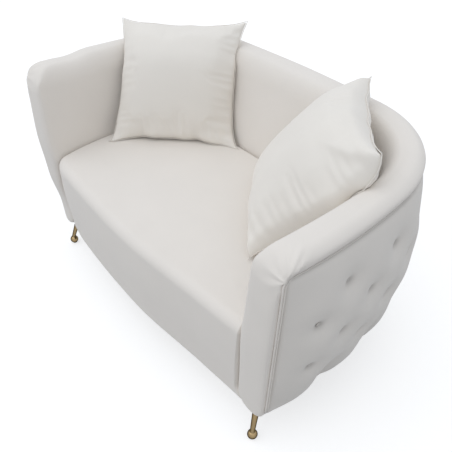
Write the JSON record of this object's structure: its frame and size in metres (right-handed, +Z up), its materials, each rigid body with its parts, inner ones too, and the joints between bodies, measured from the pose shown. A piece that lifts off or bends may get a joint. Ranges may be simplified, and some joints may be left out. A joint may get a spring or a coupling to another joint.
{
  "type": "sofa",
  "caption": "Two-seat sofa with one curved wall for arms and back, a button-tufted outer side, a bowed seat, slim splayed brass legs with ball feet and loose square cushions.",
  "frame": {"origin": "on the floor, below the middle of the overall plan", "axes": "+X to the right seen from the front, along the sofa's width; +Y from the front to the back; +Z up from the floor"},
  "size_m": [1.3888, 0.7871, 0.8339],
  "materials": {
    "cover_fabric": "smooth short pile, matte with a soft sheen",
    "outer_fabric": "smooth short pile, matte with a soft sheen",
    "cushion_fabric": "smooth short pile, matte",
    "foam": "matte open foam",
    "fibre_fill": "matte loose fibre",
    "deck_cloth": "matte woven",
    "dust_cloth": "matte woven",
    "timber": "sawn, unfinished",
    "plywood": "sawn, unfinished",
    "liner_board": "fibreboard, unfinished",
    "spring_steel": "dull",
    "fixing_steel": "zinc plated",
    "leg_brass": "polished",
    "glide_plastic": "matte"
  },
  "bodies": {
    "sofa": {"back_base_plate": "plywood", "back_foam": "foam", "back_rail": "timber", "back_roll_padding": "foam", "back_top_rail": "plywood", "centre_rail": "timber", "corner_blocks": "timber", "dust_cover": "dust_cloth", "floor_glides": "glide_plastic", "foot_plates": "fixing_steel", "front_rail": "timber", "inside_cover": "cover_fabric", "left_arm_base_plate": "plywood", "left_arm_foam": "foam", "left_arm_front_board": "plywood", "left_arm_front_cover": "cover_fabric", "left_arm_front_padding": "foam", "left_arm_roll_padding": "foam", "left_arm_top_rail": "plywood", "left_arm_welt": "cover_fabric", "left_front_ball_foot": "leg_brass", "left_front_leg": "leg_brass", "left_rear_ball_foot": "leg_brass", "left_rear_leg": "leg_brass", "left_side_rail": "timber", "leg_studs": "fixing_steel", "outer_liner_board": "liner_board", "plate_screws": "fixing_steel", "right_arm_base_plate": "plywood", "right_arm_foam": "foam", "right_arm_front_board": "plywood", "right_arm_front_cover": "cover_fabric", "right_arm_front_padding": "foam", "right_arm_roll_padding": "foam", "right_arm_top_rail": "plywood", "right_arm_welt": "cover_fabric", "right_front_ball_foot": "leg_brass", "right_front_leg": "leg_brass", "right_rear_ball_foot": "leg_brass", "right_rear_leg": "leg_brass", "right_side_rail": "timber", "seat_cover": "cover_fabric", "seat_deck_cloth": "deck_cloth", "seat_foam": "foam", "seat_front_padding": "foam", "seat_springs": "spring_steel", "spring_clips": "spring_steel", "top_roll_cover": "cover_fabric", "top_welt": "cover_fabric", "tuft_buttons": "outer_fabric", "tufted_outer_panel": "outer_fabric", "wall_struts": "timber"},
    "left_cushion": {"left_cushion_cover": "cushion_fabric", "left_cushion_fill": "fibre_fill"},
    "right_cushion": {"right_cushion_cover": "cushion_fabric", "right_cushion_fill": "fibre_fill"}
  },
  "joints": [
    {"name": "left_cushion_lift", "type": "slide", "parent": "sofa", "child": "left_cushion", "axis": [0, 0, 1], "range_m": [0, 0.4]},
    {"name": "right_cushion_lift", "type": "slide", "parent": "sofa", "child": "right_cushion", "axis": [0, 0, 1], "range_m": [0, 0.4]}
  ]
}
